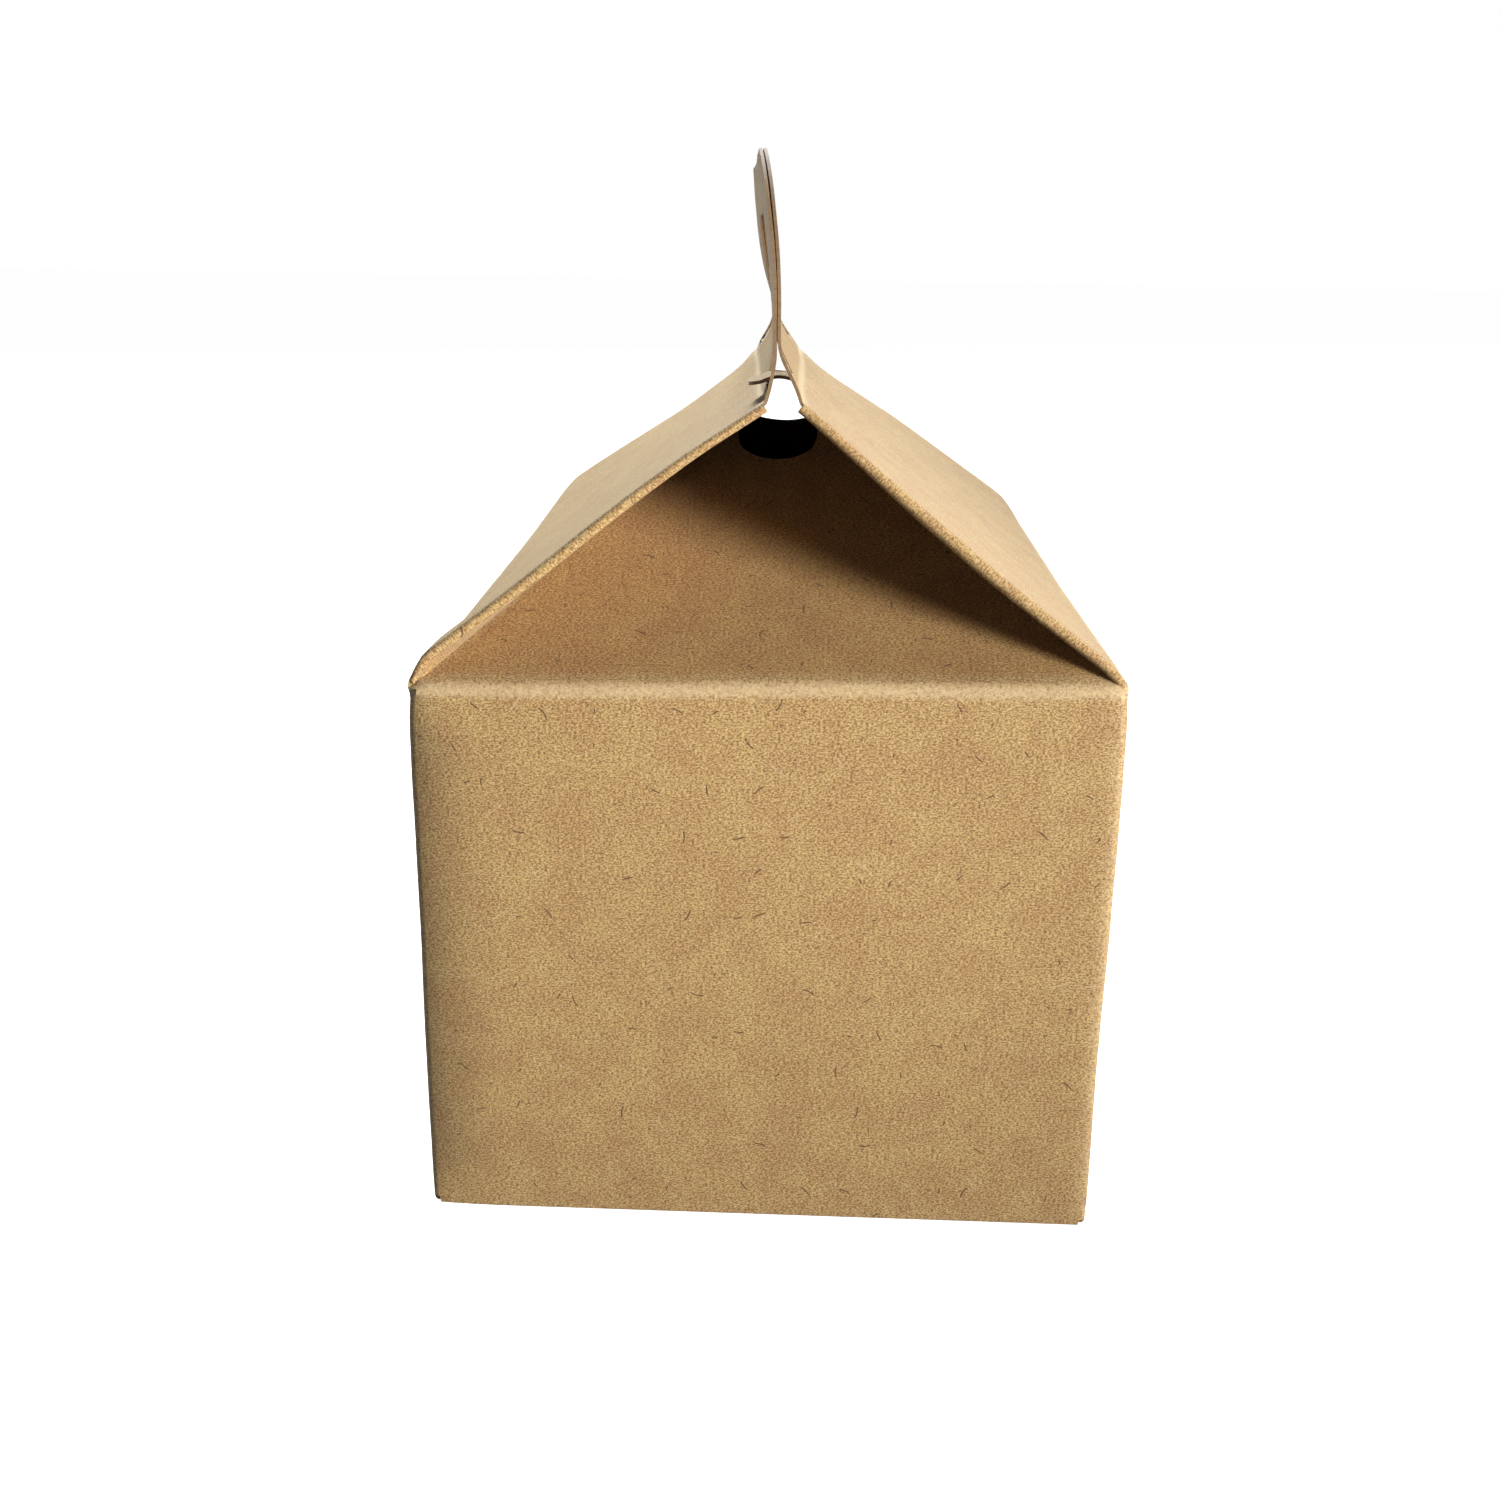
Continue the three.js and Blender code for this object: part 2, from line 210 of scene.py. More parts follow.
# The camera, from the photograph's perspective
def make_camera():
    data = bpy.data.cameras.new("camera")
    data.sensor_width = 36.0
    data.lens = 39.89
    data.clip_start = 0.01
    data.clip_end = 20.0
    camera = bpy.data.objects.new("camera", data)
    camera.location = (0.0059, -0.2976, 0.1495)
    yaw, pitch, roll = 2.07, -18.38, -0.77
    turn = (
        Matrix.Rotation(math.radians(yaw), 3, "Z")
        @ Matrix.Rotation(math.radians(pitch), 3, "X")
        @ Matrix.Rotation(math.radians(roll), 3, "Y")
        @ Matrix.Rotation(math.radians(90), 3, "X")
    )
    camera.rotation_mode = "QUATERNION"
    camera.rotation_quaternion = turn.to_quaternion()
    bpy.context.scene.collection.objects.link(camera)
    bpy.context.scene.camera = camera


# Profiles: a line with rounded corners, read by its length
class Profile:
    """A line through corners in a plane, each corner rounded by its own radius."""

    def __init__(self, corners, radii):
        self.parts = []
        start = Vector(corners[0])
        for before, corner, after, radius in zip(corners, corners[1:], corners[2:], radii):
            before, corner, after = Vector(before), Vector(corner), Vector(after)
            into = (corner - before).normalized()
            out_of = (after - corner).normalized()
            turn = into.angle_signed(out_of)
            setback = radius * math.tan(abs(turn) / 2)
            self.add_line(start, corner - into * setback)
            self.parts.append(("arc", corner - into * setback, into, -turn, radius))
            start = corner + out_of * setback
        self.add_line(start, Vector(corners[-1]))
        self.lengths = [self.part_length(part) for part in self.parts]
        self.total = sum(self.lengths)

    def add_line(self, start, end):
        self.parts.append(("line", start, (end - start).normalized(), (end - start).length))

    @staticmethod
    def part_length(part):
        return part[3] if part[0] == "line" else abs(part[3]) * part[4]

    def at(self, length):
        """The place at a length along the line."""
        for part, size in zip(self.parts, self.lengths):
            if length <= size or part is self.parts[-1]:
                break
            length -= size
        if part[0] == "line":
            return part[1] + part[2] * length
        _, start, into, turn, radius = part
        side = Vector((-into.y, into.x)) * math.copysign(1, turn)
        angle = length / radius
        return start + into * (radius * math.sin(angle)) + side * (radius * (1 - math.cos(angle)))

    def marks(self, spacing, arc_steps):
        """Lengths at which rows of the mesh lie, and the index of each part's first row."""
        rows, starts, done = [0.0], [], 0.0
        for part, size, step in zip(self.parts, self.lengths, spacing):
            starts.append(len(rows) - 1)
            count = arc_steps if part[0] == "arc" else max(1, round(size / step))
            rows += [done + size * (index + 1) / count for index in range(count)]
            done += size
        return rows, starts


# The folded sheet, collected patch by patch
class Sheet:
    """The middle surface of the board. Patches that share an edge are welded there."""

    def __init__(self):
        self.mesh = bmesh.new()
        self.flat = self.mesh.loops.layers.uv.new("flat")
        self.wear_and_shade = self.mesh.verts.layers.float.new("wear_and_shade")

    def add(self, places, flats, wear_and_shade=None, keep=None):
        """A grid of places, with the flat place of each and how worn it is there; values below 0 give
        painted shade.
        """
        rows = []
        for i, row in enumerate(places):
            vertices = []
            for j, place in enumerate(row):
                vertex = self.mesh.verts.new(place)
                vertex[self.wear_and_shade] = wear_and_shade(i, j) if wear_and_shade else 0.0
                vertices.append(vertex)
            rows.append(vertices)
        for i in range(len(rows) - 1):
            for j in range(len(rows[i]) - 1):
                if keep and not keep(i, j):
                    continue
                corners = [(i, j), (i, j + 1), (i + 1, j + 1), (i + 1, j)]
                face = self.mesh.faces.new([rows[a][b] for a, b in corners])
                for loop, (a, b) in zip(face.loops, corners):
                    loop[self.flat].uv = (flats[a][b][0] * UV_PER_MM, flats[a][b][1] * UV_PER_MM)

    def weld(self):
        bmesh.ops.remove_doubles(self.mesh, verts=self.mesh.verts, dist=WELD_DISTANCE)
        bmesh.ops.dissolve_degenerate(self.mesh, edges=self.mesh.edges, dist=WELD_DISTANCE / 4)
        loose = [vertex for vertex in self.mesh.verts if not vertex.link_faces]
        bmesh.ops.delete(self.mesh, geom=loose, context="VERTS")


def half_length(z):
    """Half length of the roof and handle strip at a height."""
    if z <= WALL_HEIGHT:
        return STRAIGHT_Y
    if z <= RIDGE_Z:
        return mix(STRAIGHT_Y, RIDGE_END_Y, (z - WALL_HEIGHT) / ROOF_RISE)
    if z <= THROAT_Z:
        return mix(RIDGE_END_Y, HANDLE_END_Y, (z - RIDGE_Z) / THROAT_HEIGHT)
    below = HANDLE_TOP_Z - z
    if below >= HANDLE_CORNER_RADIUS:
        return HANDLE_END_Y
    rise = HANDLE_CORNER_RADIUS - below
    run = math.sqrt(max(HANDLE_CORNER_RADIUS**2 - rise**2, 0.0))
    return HANDLE_END_Y - HANDLE_CORNER_RADIUS + run


def slot_outline(half_width, half_height, radius, counts):
    """Places round a slot with rounded corners, side by side from the middle of one corner."""
    def corner(cx, cy, angle):
        return (cx + radius * math.cos(angle), cy + radius * math.sin(angle))

    inner_x, inner_y = half_width - radius, half_height - radius
    centres = [(-inner_x, -inner_y), (inner_x, -inner_y), (inner_x, inner_y), (-inner_x, inner_y)]
    sides = []
    for side, count in enumerate(counts):
        start, end = centres[side], centres[(side + 1) % 4]
        middle = math.radians(-90 + 90 * side)
        straight = math.hypot(end[0] - start[0], end[1] - start[1])
        arc = radius * math.pi / 4
        total = straight + 2 * arc
        places = []
        for index in range(count):
            length = total * index / count
            if length < arc:
                places.append(corner(*start, middle - math.pi / 4 + length / max(radius, 1e-6)))
            elif length <= arc + straight:
                share = (length - arc) / max(straight, 1e-6)
                base = corner(*start, middle)
                far = corner(*end, middle)
                places.append((mix(base[0], far[0], share), mix(base[1], far[1], share)))
            else:
                places.append(corner(*end, middle + (length - arc - straight) / radius))
        sides.append(places)
    return [place for side in sides for place in side]


class Strip:
    """One side's roof and handle: a profile across the box, carried along its length."""

    def __init__(self, side):
        self.side = side
        self.profile = Profile(
            [(EAVE_X, SLEEVE_TOP), (EAVE_X, WALL_HEIGHT), (RIDGE_X, RIDGE_Z),
             (SHOWN_HANDLE_X, THROAT_Z - THROAT_DROP), (SHOWN_HANDLE_X, HANDLE_TOP_Z)],
            [EAVE_FOLD, RIDGE_FOLD, THROAT_FOLD],
        )
        spacing = [0.8, 1, self.profile.lengths[2] / FOLD_ROWS, 1, 0.9, 1, 1.25]
        self.rows, self.starts = self.profile.marks(spacing, ARC_STEPS)
        self.columns = [index / STRIP_COLUMNS * 2 - 1 for index in range(STRIP_COLUMNS + 1)]

    def place(self, length, y):
        point = self.profile.at(length)
        across = self.profile.at(length + 0.05) - self.profile.at(length - 0.05)
        outward = Vector((-across.y, across.x)).normalized() * -self.lift(length, y)
        return Vector((self.side * (point.x + outward.x), y, point.y + outward.y))

    def lift(self, length, y):
        """How far the roof stands off its flat place. It springs up where the gable edge is rolled."""
        up_slope = length - self.profile.lengths[0] - self.profile.lengths[1] / 2
        share = up_slope / ROOF_SLANT
        height, reach = GABLE_LIFT[(self.side, 1 if y > 0 else -1)]
        from_edge = STRAIGHT_Y - GABLE_LEAN * min(max(share, 0), 1) - abs(y)
        across = smooth(-2.2, 4.5, up_slope) * (1 - min(max(share, 0.0), 1.0)) ** 0.7
        return height * across * math.exp(-((from_edge / reach) ** 2))

    def flat(self, length, y):
        return (self.side * (EAVE_X + STRAIGHT_Y + y), SLEEVE_TOP + length)

    def y_at(self, row, column):
        return self.columns[column] * half_length(self.profile.at(self.rows[row]).y)

    def worn(self, length):
        """How rubbed the folds and the top edge are."""
        done, value = 0.0, 0.0
        strengths = (0, 0.75, 0, 0.9, 0, 0.15, 0)
        for part, size, strength in zip(self.profile.parts, self.profile.lengths, strengths):
            if part[0] == "arc":
                middle = done + size / 2
                away = max(abs(length - middle) - size / 2, 0)
                value = max(value, strength * math.exp(-((away / 0.9) ** 2)))
            done += size
        top = max(self.profile.total - length, 0)
        return max(value, CREASE_WEAR * math.exp(-((top / 0.7) ** 2)))

    def span(self, low, high, values):
        """The first index at or before low, and the last at or after high, in a rising list."""
        before = max(index for index, value in enumerate(values) if value <= low)
        after = min(index for index, value in enumerate(values) if value >= high)
        return before, after

    def build(self, sheet, holes):
        """Adds the strip to the sheet, with a ring of faces round each hole."""
        blocks = []
        for hole in holes:
            low, high = hole["length"]
            row_span = self.span(low - hole["margin"], high + hole["margin"], self.rows)
            middle_row = (row_span[0] + row_span[1]) // 2
            y_row = [self.y_at(middle_row, column) for column in range(len(self.columns))]
            column_span = self.span(hole["y"][0] - hole["margin"], hole["y"][1] + hole["margin"], y_row)
            blocks.append((hole, row_span, column_span))

        def keep(i, j):
            return not any(r0 <= i < r1 and c0 <= j < c1 for _, (r0, r1), (c0, c1) in blocks)

        places = [[self.place(length, self.y_at(i, j)) for j in range(len(self.columns))]
                  for i, length in enumerate(self.rows)]
        flats = [[self.flat(length, self.y_at(i, j)) for j in range(len(self.columns))]
                 for i, length in enumerate(self.rows)]

        def wear_and_shade(i, j):
            at_end = abs(self.columns[j]) == 1 and self.rows[i] > self.profile.lengths[2]
            return max(self.worn(self.rows[i]), HANDLE_EDGE_WEAR if at_end else 0.0)

        sheet.add(places, flats, wear_and_shade, keep)
        return [self.ring(sheet, *block) for block in blocks]

    def ring(self, sheet, hole, row_span, column_span):
        """Faces between a block's border and the hole's outline. Gives back the hole's lower edge."""
        (r0, r1), (c0, c1) = row_span, column_span
        border = [(r0, c) for c in range(c0, c1)] + [(r, c1) for r in range(r0, r1)]
        border += [(r1, c) for c in range(c1, c0, -1)] + [(r, c0) for r in range(r1, r0, -1)]
        outer = [(self.y_at(r, c), self.rows[r]) for r, c in border]
        (low, high), (y0, y1) = hole["length"], hole["y"]
        centre = ((y0 + y1) / 2, (low + high) / 2)
        counts = [c1 - c0, r1 - r0, c1 - c0, r1 - r0]
        inner = slot_outline((y1 - y0) / 2, (high - low) / 2, hole["radius"], counts)
        inner = [(centre[0] + y, centre[1] + length) for y, length in inner]
        steps = (0.0, 0.45, 0.8, 1.0)
        rings = []
        for share in steps:
            ring = [(mix(a[0], b[0], share), mix(a[1], b[1], share)) for a, b in zip(outer, inner)]
            rings.append(ring + ring[:1])
        places = [[self.place(length, y) for y, length in ring] for ring in rings]
        flats = [[self.flat(length, y) for y, length in ring] for ring in rings]

        def wear_and_shade(i, j):
            length = rings[i][j][1]
            return max(self.worn(length), HOLE_EDGE_WEAR if i == len(rings) - 1 else 0.0)

        sheet.add(places, flats, wear_and_shade)
        return inner[: counts[0] + 1]


def strip_holes(strip):
    """The openings cut in one side's strip: the hand hole, and a slot or window near each end."""
    throat_start = strip.profile.lengths[0] + strip.profile.lengths[1] + strip.profile.lengths[2]
    lift = (HANDLE_TOP_Z - HAND_HOLE_TOP_MARGIN - HAND_HOLE_HEIGHT) - THROAT_Z
    handle_start = strip.profile.total - (HANDLE_TOP_Z - THROAT_Z)
    holes = [{
        "length": (handle_start + lift, handle_start + lift + HAND_HOLE_HEIGHT),
        "y": (-HAND_HOLE_LENGTH / 2, HAND_HOLE_LENGTH / 2),
        "radius": HAND_HOLE_HEIGHT / 2,
        "margin": 2.6,
    }]
    low = LOCK_HEIGHT if strip.side > 0 else LOCK_HEIGHT - TONGUE_DROP - BOARD
    for end in (-1, 1):
        middle = end * (HANDLE_END_Y - LOCK_INSET - LOCK_LENGTH / 2)
        holes.append({
            "length": (throat_start + low, throat_start + LOCK_HEIGHT + WINDOW_HEIGHT),
            "y": (middle - LOCK_LENGTH / 2, middle + LOCK_LENGTH / 2),
            "radius": 0.5,
            "margin": 0.7,
        })
    return holes


def add_tongue(sheet, strip, hinge, whole_reach):
    """A tongue that starts on the lower edge of its window and reaches through the other panel."""
    rows = 12
    start = [strip.place(length, y) for y, length in hinge]
    half = (start[-1].y - start[0].y) / 2
    middle = (start[-1].y + start[0].y) / 2
    places, flats = [], []
    for i in range(rows + 1):
        v = i / rows
        beyond = whole_reach * (1 - v)
        width = half
        if beyond < TONGUE_TIP_RADIUS:
            rise = TONGUE_TIP_RADIUS - beyond
            width = half - TONGUE_TIP_RADIUS + math.sqrt(max(TONGUE_TIP_RADIUS**2 - rise**2, 0))
        row = []
        for place in start:
            y = middle + (place.y - middle) * width / half
            lift = 0.5 * math.sin(math.pi * min(v * 1.4, 1))
            x = place.x - strip.side * whole_reach * v
            row.append(Vector((x, y, place.z + lift - TONGUE_DROP * v * v)))
        places.append(row)
        flats.append([strip.flat(hinge[0][1] + whole_reach * v, place.y) for place in row])
    sheet.add(places, flats, lambda i, j: HANDLE_EDGE_WEAR if i in (0, rows) else 0.0)


# Walls
def perimeter():
    """The corners and straights of the walls, once round, with the flat length at each place."""
    places = []
    quarter = CORNER_FOLD * math.pi / 2
    lengths = {"end": 2 * STRAIGHT_X, "side": 2 * STRAIGHT_Y}
    turns = [
        ((STRAIGHT_X, -STRAIGHT_Y), -90, "end", (1, 0)),
        ((STRAIGHT_X, STRAIGHT_Y), 0, "side", (0, 1)),
        ((-STRAIGHT_X, STRAIGHT_Y), 90, "end", (-1, 0)),
        ((-STRAIGHT_X, -STRAIGHT_Y), 180, "side", (0, -1)),
    ]
    done = -STRAIGHT_X
    for (cx, cy), angle, kind, direction in turns:
        count = END_COLUMNS if kind == "end" else STRIP_COLUMNS
        out = (math.cos(math.radians(angle)), math.sin(math.radians(angle)))
        end = (cx + out[0] * CORNER_FOLD, cy + out[1] * CORNER_FOLD)
        for index in range(count):
            back = lengths[kind] * (1 - index / count)
            places.append((end[0] - direction[0] * back, end[1] - direction[1] * back,
                           done + lengths[kind] * index / count, 0))
        done += lengths[kind]
        for index in range(ARC_STEPS):
            turn = math.radians(angle + 90 * index / ARC_STEPS)
            places.append((cx + CORNER_FOLD * math.cos(turn), cy + CORNER_FOLD * math.sin(turn),
                           done + quarter * index / ARC_STEPS, 1))
        done += quarter
    places.append((*places[0][:2], done, 0))
    return places


def add_walls(sheet):
    around = perimeter()
    heights = [mix(SLEEVE_FOOT, SLEEVE_TOP, row / WALL_ROWS) for row in range(WALL_ROWS + 1)]
    places = [[Vector((x, y, z)) for x, y, _, _ in around] for z in heights]
    flats = [[(length, z) for _, _, length, _ in around] for z in heights]
    sheet.add(places, flats, lambda i, j: BORDER_WEAR if around[j][3] else 0.0)


# Gussets and webs
def diagonal_end():
    """Where the diagonal fold ends under the roof: across, along from the end wall, and up."""
    gable_angle = math.atan2(ROOF_SLANT, GABLE_LEAN)
    web_angle = math.atan2(
        math.cos(ROOF_SLOPE) * math.sin(gable_angle) + math.cos(gable_angle),
        math.sin(gable_angle) + math.cos(ROOF_SLOPE) * math.cos(gable_angle),
    )
    diagonal_angle = gable_angle - web_angle
    across = NOTCH_WIDTH / 2 + GUSSET_SHOULDER
    run = EAVE_X - LAYER_PITCH / math.sin(ROOF_SLOPE) - across
    up_slope = run / math.cos(ROOF_SLOPE)
    depth = up_slope / math.tan(diagonal_angle)
    return across, depth, WALL_HEIGHT + up_slope * math.sin(ROOF_SLOPE)


def add_gusset(sheet, end):
    """The end panel that folds inward under the roof. Gives back its two diagonal borders."""
    across, depth, top = diagonal_end()
    profile = Profile([(0, SLEEVE_TOP), (0, WALL_HEIGHT), (depth, top)], [GUSSET_FOLD])
    line_start = profile.lengths[0] + profile.lengths[1]
    line_length = profile.lengths[2]
    notch_radius = NOTCH_WIDTH / 2
    straight_share = (line_length - NOTCH_DEPTH + notch_radius) / line_length
    straight_row = round(FOLD_ROWS * straight_share)
    notch_share = 0.4
    notch_columns = END_COLUMNS * notch_share / 2
    middle = END_COLUMNS // 2

    def half_width(share):
        return mix(STRAIGHT_X, across, share)

    def flat_x(x):
        return x if end < 0 else EAVE_X * 2 + STRAIGHT_Y * 2 - x

    places, flats = [], []

    def add_row(lengths, xs):
        row, flat_row = [], []
        for length, x in zip(lengths, xs):
            point = profile.at(length)
            row.append(Vector((x, end * (END_Y - point.x), point.y)))
            flat_row.append((flat_x(x), SLEEVE_TOP + length))
        places.append(row)
        flats.append(flat_row)

    columns = [index / END_COLUMNS * 2 - 1 for index in range(END_COLUMNS + 1)]
    head = [0.0, profile.lengths[0]]
    fold_steps = ARC_STEPS * 2
    head += [profile.lengths[0] + profile.lengths[1] * step / fold_steps for step in range(1, fold_steps)]
    for length in head:
        add_row([length] * len(columns), [t * STRAIGHT_X for t in columns])
    for row in range(FOLD_ROWS + 1):
        share = row / straight_row * straight_share
        if row > straight_row:
            share = mix(straight_share, 1, (row - straight_row) / (FOLD_ROWS - straight_row))
        gather = min(row / straight_row, 1.0)
        width = half_width(share)
        xs, lengths = [], []
        for t in columns:
            if abs(t) <= notch_share:
                narrow = t / notch_share * notch_radius
            else:
                beside = (abs(t) - notch_share) / (1 - notch_share)
                narrow = math.copysign(mix(notch_radius, width, beside), t)
            x = mix(t * width, narrow, gather)
            xs.append(x)
            cut = 0.0
            if abs(t) < notch_share:
                inside = min(abs(t) / notch_share * notch_radius, notch_radius)
                cut = math.sqrt(notch_radius**2 - inside**2)
            reach = straight_share * line_length - cut
            along = reach * gather if row <= straight_row else share * line_length
            if abs(t) > notch_share:
                along = share * line_length
            lengths.append(line_start + along)
        add_row(lengths, xs)

    def keep(i, j):
        row = i - len(head)
        return not (row >= straight_row and abs(j + 0.5 - middle) < notch_columns)

    def wear_and_shade(i, j):
        if i < len(head):
            from_crease = head[i] - line_start / 2
        else:
            from_crease = (i - len(head)) * line_length / FOLD_ROWS + line_start / 2
        soft = math.exp(-((from_crease / CREASE_SOFTNESS) ** 2))
        if j in (0, END_COLUMNS):
            return max(CREASE_WEAR * soft, BORDER_WEAR)
        # Away from the crease the gusset gets painted shade, as it lies in the dark recess under the roof
        return mix(PAINTED_GUSSET_SHADE, CREASE_WEAR, soft)

    sheet.add(places, flats, wear_and_shade, keep)
    first = len(head)
    left = [row[0] for row in places[first:]]
    right = [row[-1] for row in places[first:]]
    return {-1: left, 1: right}


def add_web(sheet, strip, end, border):
    """The rolled gable edge and the web behind it, from the roof's edge to the gusset's border."""
    side = strip.side
    rows = strip.rows[strip.starts[2]: strip.starts[2] + FOLD_ROWS + 1]
    edge = [strip.place(length, end * half_length(strip.profile.at(length).y)) for length in rows]
    normal = Vector((side * math.sin(ROOF_SLOPE), 0, math.cos(ROOF_SLOPE)))
    along = (edge[-1] - edge[0]).normalized()
    outward = Vector((0, end, 0)) - along * (along.y * end)
    outward.normalize()
    swell = ROLL_SWELL[(side, end)]
    places, flats = [], []
    for i, start in enumerate(edge):
        share = i / FOLD_ROWS
        radius = LAYER_PITCH / 2 * (1 + swell * math.sin(math.pi * min(share * 1.15, 1)) ** 1.5)
        row, flat_row = [], []
        origin = strip.flat(rows[i], start.y)
        for step in range(ROLL_STEPS + 1):
            angle = math.pi * step / ROLL_STEPS
            across, down = radius * math.sin(angle), radius * (1 - math.cos(angle))
            row.append(start + outward * across - normal * down)
            flat_row.append((origin[0] + end * side * radius * angle, origin[1]))
        inner = row[-1]
        goal = border[i]
        wide = (goal - inner).length
        for step in range(1, WEB_COLUMNS + 1):
            row.append(inner.lerp(goal, step / WEB_COLUMNS))
            flat_row.append((flat_row[ROLL_STEPS][0] + end * side * wide * step / WEB_COLUMNS, origin[1]))
        places.append(row)
        flats.append(flat_row)

    def wear_and_shade(i, j):
        return ROLL_WEAR if 0 < j < ROLL_STEPS - 1 else WEB_WEAR

    sheet.add(places, flats, wear_and_shade)


# Bottom
def add_flap(sheet, wall, layer, reach, notch=None, tongue=None):
    """A bottom flap from one wall ("left", "right", "near" or "far"), folded in at its own layer."""
    corners = [(0, SLEEVE_FOOT), (0, BOARD / 2), (reach, BOARD / 2)]
    profile = Profile(corners, [BOTTOM_FOLD])
    sideways = wall in ("left", "right")
    straight = STRAIGHT_Y if sideways else STRAIGHT_X
    count = STRIP_COLUMNS if sideways else END_COLUMNS
    far_out = EAVE_X if sideways else END_Y
    sign = 1 if wall in ("right", "far") else -1
    cut_depth, cut_half = notch or (0.0, 0.0)
    rows_before = 16
    rows_after = 9
    line_start = profile.lengths[0] + profile.lengths[1]
    line_length = profile.lengths[2]
    lengths = [0.0] + [profile.lengths[0] + profile.lengths[1] * k / ARC_STEPS for k in range(ARC_STEPS)]
    head = len(lengths)
    lengths += [line_start + (line_length - cut_depth) * k / rows_before for k in range(rows_before + 1)]
    if notch:
        lengths += [line_start + mix(line_length - cut_depth, line_length, k / rows_after)
                    for k in range(1, rows_after + 1)]
    if tongue:
        tongue_reach, cut_half = tongue
        lengths += [line_start + line_length + tongue_reach * k / rows_after
                    for k in range(1, rows_after + 1)]
    share_cut = 0.5
    places, flats = [], []
    for i, length in enumerate(lengths):
        point = profile.at(min(length, profile.total))
        beyond = max(length - profile.total, 0.0)
        share = min(max((length - line_start) / line_length, 0), 1)
        inset = FLAP_SIDE_GAP * smooth(0, FLAP_RAMP, point.x)
        half = straight - inset - FLAP_TAPER * share
        gather = min(max((i - head) / rows_before, 0), 1) if cut_half else 0.0
        row, flat_row = [], []
        for index in range(count + 1):
            t = index / count * 2 - 1
            narrow = t / share_cut * cut_half
            if abs(t) > share_cut:
                narrow = math.copysign(mix(cut_half, half, (abs(t) - share_cut) / (1 - share_cut)), t)
            across = mix(t * half, narrow, gather)
            lift = smooth(0, FLAP_RAMP, point.x - BOTTOM_FOLD) * LAYER_PITCH * layer
            lift += smooth(0, BOTTOM_TONGUE_RAMP, beyond) * LAYER_PITCH * 3
            inward = far_out - point.x - beyond
            place = (sign * inward, across) if sideways else (across, sign * inward)
            row.append(Vector((*place, point.y + lift)))
            flat_row.append((across + 20 * layer, -length))
        places.append(row)
        flats.append(flat_row)
    middle = count / 2

    def keep(i, j):
        inside = abs(j + 0.5 - middle) < count * share_cut / 2
        if notch and i >= head + rows_before:
            return not inside
        if tongue and i >= head + rows_before:
            return inside
        return True

    sheet.add(places, flats, lambda i, j: FLAP_WEAR if i <= head else 0.0, keep)


# What use and folding did to the carton
def read_line(line, height):
    """The value at a height of a smooth curve through heights and values."""
    if height <= line[0][0]:
        return line[0][1]
    if height >= line[-1][0]:
        return line[-1][1]
    index = max(i for i, (start, _) in enumerate(line) if start <= height)

    def slope(i):
        before, after = line[max(i - 1, 0)], line[min(i + 1, len(line) - 1)]
        return (after[1] - before[1]) / (after[0] - before[0])

    (low, first), (high, last) = line[index], line[index + 1]
    span = high - low
    s = (height - low) / span
    lead = slope(index) if index else 0.0
    return (
        first * (1 + 2 * s) * (1 - s) ** 2 + last * s * s * (3 - 2 * s)
        + lead * span * s * (1 - s) ** 2 - slope(index + 1) * span * s * s * (1 - s)
    )


def bend_at(x, y, z):
    """How far the near wall is pushed in beside its left corner, below a slanting crease."""
    width = min(BEND_WIDTH, BEND_SLANT * (WALL_HEIGHT - z))
    if width <= 0.1:
        return 0.0
    share = min(max((width - EAVE_X - x) / width, 0.0), 1.0)
    depth = BEND_DEPTH * (width / BEND_WIDTH) * share**2.5
    return depth * smooth(-END_Y + 34, -END_Y + 1, y) * smooth(-3, 9, z)


def settle(place):
    """Moves a place of the ideal carton to where it lies on the real one."""
    x, y, z = place
    along = y / END_Y
    across = x / EAVE_X
    up = min(z / WALL_HEIGHT, 1.0)
    above = smooth(WALL_HEIGHT - 1, RIDGE_Z, z)
    z_shift = -EAVE_TWIST * across * along * up
    z_shift -= RIDGE_TILT * along * above
    near_ridge = smooth(WALL_HEIGHT + 8, RIDGE_Z, z) * smooth(THROAT_Z + 4, RIDGE_Z, z)
    z_shift += NEAR_RIDGE_RISE * smooth(-0.3, -0.9, along) * near_ridge
    throat = math.exp(-(((z - RIDGE_Z) / 4.5) ** 2)) * smooth(12.0, 2.0, abs(x))
    x_shift = math.copysign(1, x) * FAR_THROAT_SPREAD * throat * smooth(-1, 1, along)
    end = min(max(y / HANDLE_END_Y, -1), 1) / 2 + 0.5
    x_shift += mix(read_line(NEAR_SWAY, z), read_line(FAR_SWAY, z), end)
    grip = max(z - THROAT_Z, 0.0) / (HANDLE_TOP_Z - THROAT_Z)
    if x < 0:
        x_shift -= HANDLE_GAP * smooth(0.3, 0.8, grip) * mix(1, 0.35, end)
    bent = bend_at(x, y, z)
    x_shift += WALL_SWELL * across * smooth(WALL_HEIGHT + 2, WALL_HEIGHT - 7, z) - BEND_SIDEWAYS * bent
    wide = noise.noise_vector(Vector((x, y, z)) * WIDE_WAVE) * WIDE_HEIGHT
    small = noise.noise_vector(Vector((x, y, z)) * SMALL_WAVE + Vector((7, 3, 5))) * SMALL_HEIGHT
    fade = smooth(0.0, 6.0, z)
    return Vector((x + x_shift, y + bent, z + z_shift)) + (wide + small) * fade


